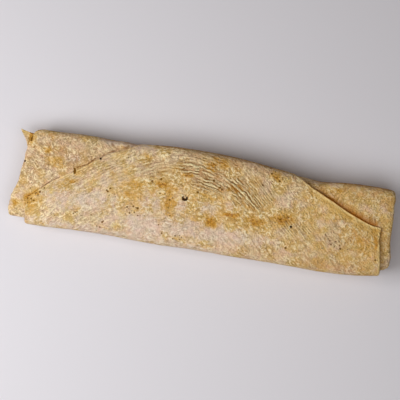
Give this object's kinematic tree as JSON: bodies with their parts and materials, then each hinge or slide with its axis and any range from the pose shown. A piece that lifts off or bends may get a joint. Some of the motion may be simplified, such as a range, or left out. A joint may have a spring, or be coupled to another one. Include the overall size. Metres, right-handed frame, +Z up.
{
  "type": "rolled tortilla wrap",
  "caption": "Whole closed tortilla wrap: a round flatbread with both sides folded in, rolled into a long flattish parcel with its round edge as a flap on top.",
  "frame": {"origin": "middle of the box round the wrap, at its underside, where it rests", "axes": "+X along the roll, towards the picture's right; +Y towards its back, the picture's top; +Z up"},
  "size_m": [0.2444, 0.0638, 0.029],
  "materials": {
    "flatbread": "soft toasted flatbread, pale tan and dry, with yellow-brown toast marks; matte plastic stands in for it"
  },
  "bodies": {
    "root": {"wrap": "flatbread"}
  },
  "joints": []
}
